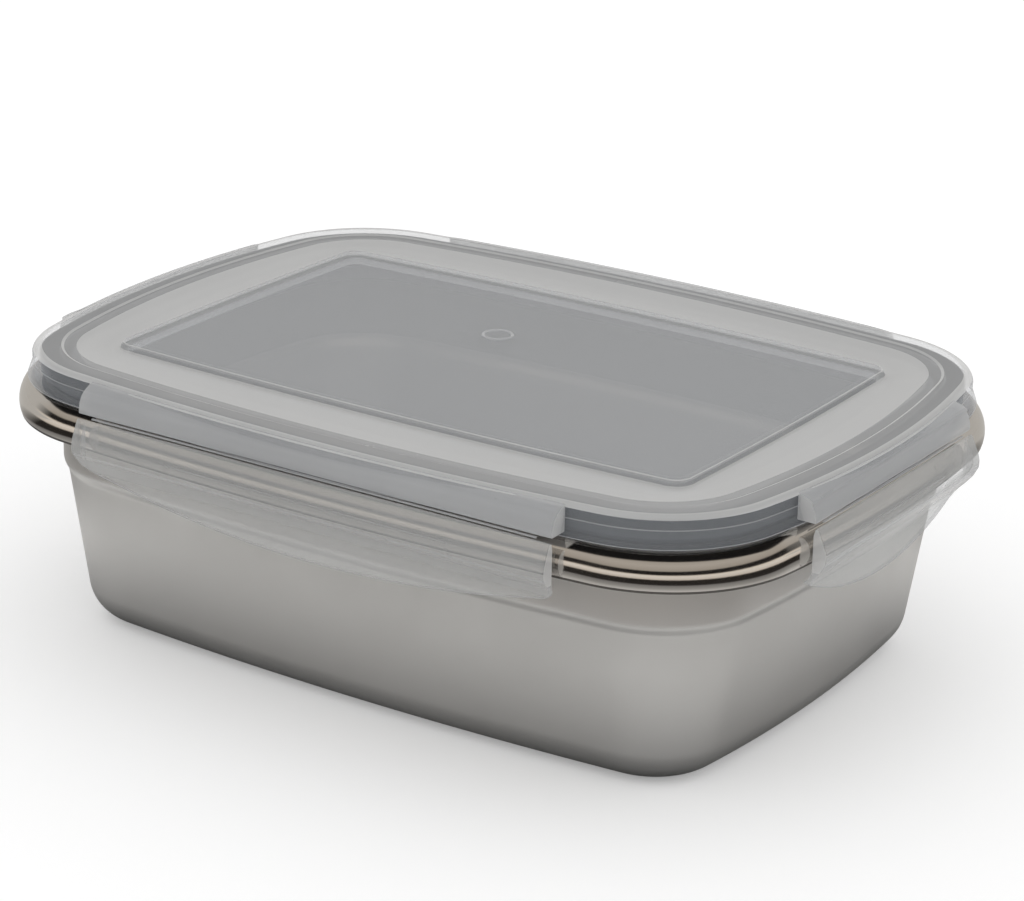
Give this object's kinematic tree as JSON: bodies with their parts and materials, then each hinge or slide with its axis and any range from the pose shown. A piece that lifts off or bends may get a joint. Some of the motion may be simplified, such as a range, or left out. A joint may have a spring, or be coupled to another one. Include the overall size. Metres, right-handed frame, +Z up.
{
  "type": "lunch box",
  "caption": "Rectangular steel lunch box with a rolled rim and a translucent clip-down lid that carries a soft seal and hinged flap clips.",
  "frame": {"origin": "middle of the tub's flat underside, on the table", "axes": "+X along the box's length, +Y across its width to the back, +Z up; metres"},
  "size_m": [0.2292, 0.1704, 0.074],
  "materials": {
    "steel": "satin drawn sheet with a polished rolled rim",
    "frosted_plastic": "translucent, lightly frosted",
    "seal_rubber": "matte dark grey"
  },
  "bodies": {
    "container": {"container": "steel"},
    "lid": {"lid": "frosted_plastic", "gasket": "seal_rubber", "film_hinge_front": "frosted_plastic", "film_hinge_back": "frosted_plastic", "film_hinge_left": "frosted_plastic", "film_hinge_right": "frosted_plastic"},
    "clip_front": {"clip_front": "frosted_plastic"},
    "clip_back": {"clip_back": "frosted_plastic"},
    "clip_left": {"clip_left": "frosted_plastic"},
    "clip_right": {"clip_right": "frosted_plastic"}
  },
  "joints": [
    {"name": "lid_lift", "type": "slide", "parent": "container", "child": "lid", "axis": [0, 0, 1], "range_m": [0, 0.1]},
    {"name": "clip_front_hinge", "type": "hinge", "parent": "lid", "child": "clip_front", "pos_m": [0, -0.0824, 0.0647], "axis": [-1, 0, 0], "range_deg": [0, 120]},
    {"name": "clip_back_hinge", "type": "hinge", "parent": "lid", "child": "clip_back", "pos_m": [0, 0.0824, 0.0647], "axis": [1, 0, 0], "range_deg": [0, 120]},
    {"name": "clip_right_hinge", "type": "hinge", "parent": "lid", "child": "clip_right", "pos_m": [0.1116, 0, 0.0647], "axis": [0, -1, 0], "range_deg": [0, 120]},
    {"name": "clip_left_hinge", "type": "hinge", "parent": "lid", "child": "clip_left", "pos_m": [-0.1116, 0, 0.0647], "axis": [0, 1, 0], "range_deg": [0, 120]}
  ]
}
